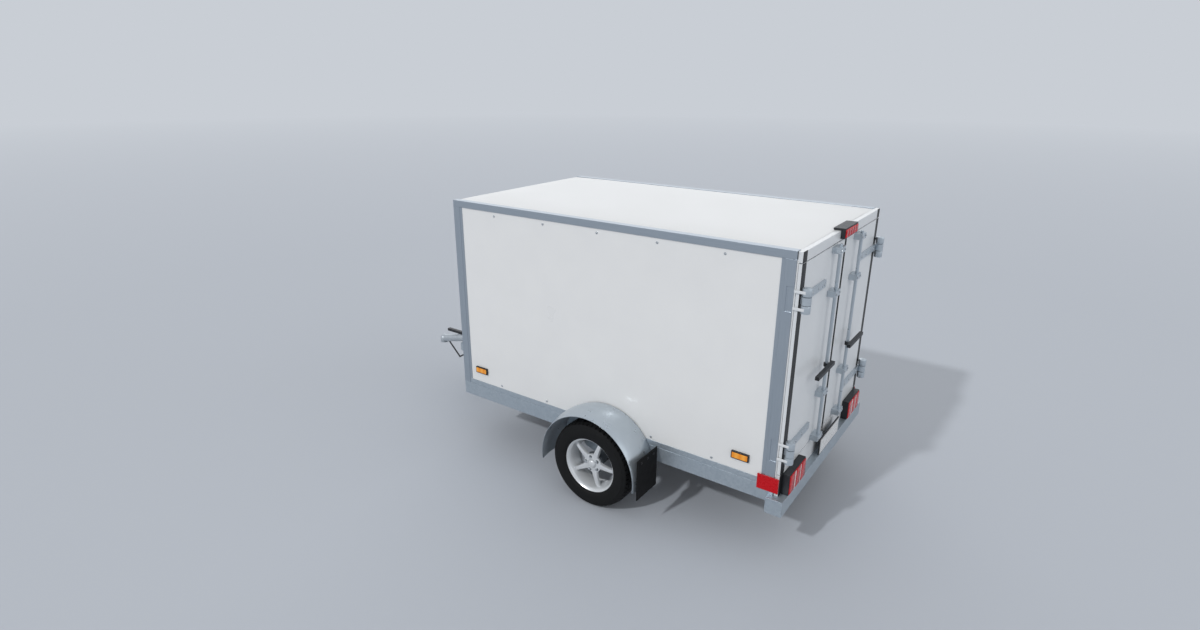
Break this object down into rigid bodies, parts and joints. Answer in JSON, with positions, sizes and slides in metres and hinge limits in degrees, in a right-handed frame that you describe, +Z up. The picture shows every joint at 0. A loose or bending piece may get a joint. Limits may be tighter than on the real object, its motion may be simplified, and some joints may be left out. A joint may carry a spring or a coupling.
{
  "type": "utility trailer",
  "caption": "Single-axle box trailer with a closed body, hinged rear doors with lock rods, mudguards, tail lamps, a V drawbar with a ball coupling and a jockey wheel.",
  "frame": {"origin": "on the ground under the middle of the whole trailer, the drawbar included", "axes": "+X the towing direction, +Y the trailer's left side, +Z up"},
  "size_m": [3.694, 2, 1.882],
  "materials": {
    "galvanised_steel": "satin",
    "anodised_aluminium": "satin",
    "white_panel": "gloss",
    "door_sheet": "satin",
    "phenolic_plywood": "satin",
    "zinc_cast": "satin",
    "black_rubber": "matte",
    "black_plastic": "satin",
    "black_painted_rod": "satin",
    "tyre_rubber": "matte",
    "rim_silver": "satin",
    "amber_lens": "gloss",
    "red_lens": "gloss",
    "plate_white": "satin"
  },
  "bodies": {
    "trailer": {"side_rails": "galvanised_steel", "crossmembers": "galvanised_steel", "rear_beam": "galvanised_steel", "drawbar": "galvanised_steel", "coupling_head": "zinc_cast", "coupling_handle": "black_rubber", "coupling_guard_rod": "black_painted_rod", "jockey_clamp": "galvanised_steel", "axle_beam": "galvanised_steel", "axle_arms": "galvanised_steel", "mudguards": "galvanised_steel", "mudflaps": "black_rubber", "floor_panel": "phenolic_plywood", "floor_edges": "galvanised_steel", "left_side_panel": "white_panel", "right_side_panel": "white_panel", "front_panel": "white_panel", "roof_panel": "white_panel", "corner_posts": "anodised_aluminium", "top_rails": "anodised_aluminium", "rear_frame": "door_sheet", "frame_seals": "black_rubber", "hinge_brackets": "galvanised_steel", "marker_housings": "black_plastic", "marker_lenses": "amber_lens", "side_reflectors": "red_lens", "lamp_housings": "black_plastic", "lamp_lenses": "red_lens", "number_holder": "black_plastic", "number_plate": "plate_white"},
    "left_door": {"left_door_panel": "door_sheet", "left_door_seals": "black_rubber", "left_door_hinges": "galvanised_steel", "left_lock_rod": "galvanised_steel", "left_rod_guides": "galvanised_steel", "left_door_handle": "black_plastic"},
    "right_door": {"right_door_panel": "door_sheet", "right_door_seals": "black_rubber", "right_door_hinges": "galvanised_steel", "right_lock_rod": "galvanised_steel", "right_rod_guides": "galvanised_steel", "right_door_handle": "black_plastic"},
    "left_wheel": {"left_tyre": "tyre_rubber", "left_rim": "rim_silver", "left_hub": "galvanised_steel"},
    "right_wheel": {"right_tyre": "tyre_rubber", "right_rim": "rim_silver", "right_hub": "galvanised_steel"},
    "jockey_leg": {"jockey_tube": "galvanised_steel"},
    "jockey_caster": {"jockey_fork": "galvanised_steel"},
    "jockey_wheel": {"jockey_roller": "black_rubber"}
  },
  "joints": [
    {"name": "left_door_swing", "type": "hinge", "parent": "trailer", "child": "left_door", "pos_m": [-1.8155, 0.722, 0.8], "axis": [0, 0, -1], "range_deg": [0, 240]},
    {"name": "right_door_swing", "type": "hinge", "parent": "trailer", "child": "right_door", "pos_m": [-1.8155, -0.722, 0.8], "axis": [0, 0, 1], "range_deg": [0, 240]},
    {"name": "left_wheel_spin", "type": "hinge", "parent": "trailer", "child": "left_wheel", "pos_m": [-0.5925, 0.88, 0.3], "axis": [0, 1, 0], "continuous": true},
    {"name": "right_wheel_spin", "type": "hinge", "parent": "trailer", "child": "right_wheel", "pos_m": [-0.5925, -0.88, 0.3], "axis": [0, 1, 0], "continuous": true},
    {"name": "jockey_slide", "type": "slide", "parent": "trailer", "child": "jockey_leg", "axis": [0, 0, 1], "range_m": [-0.15, 0.085]},
    {"name": "jockey_swivel", "type": "hinge", "parent": "jockey_leg", "child": "jockey_caster", "pos_m": [1.3075, 0, 0.2], "axis": [0, 0, 1], "continuous": true},
    {"name": "jockey_spin", "type": "hinge", "parent": "jockey_caster", "child": "jockey_wheel", "pos_m": [1.2675, 0, 0.1], "axis": [0, 1, 0], "continuous": true}
  ]
}
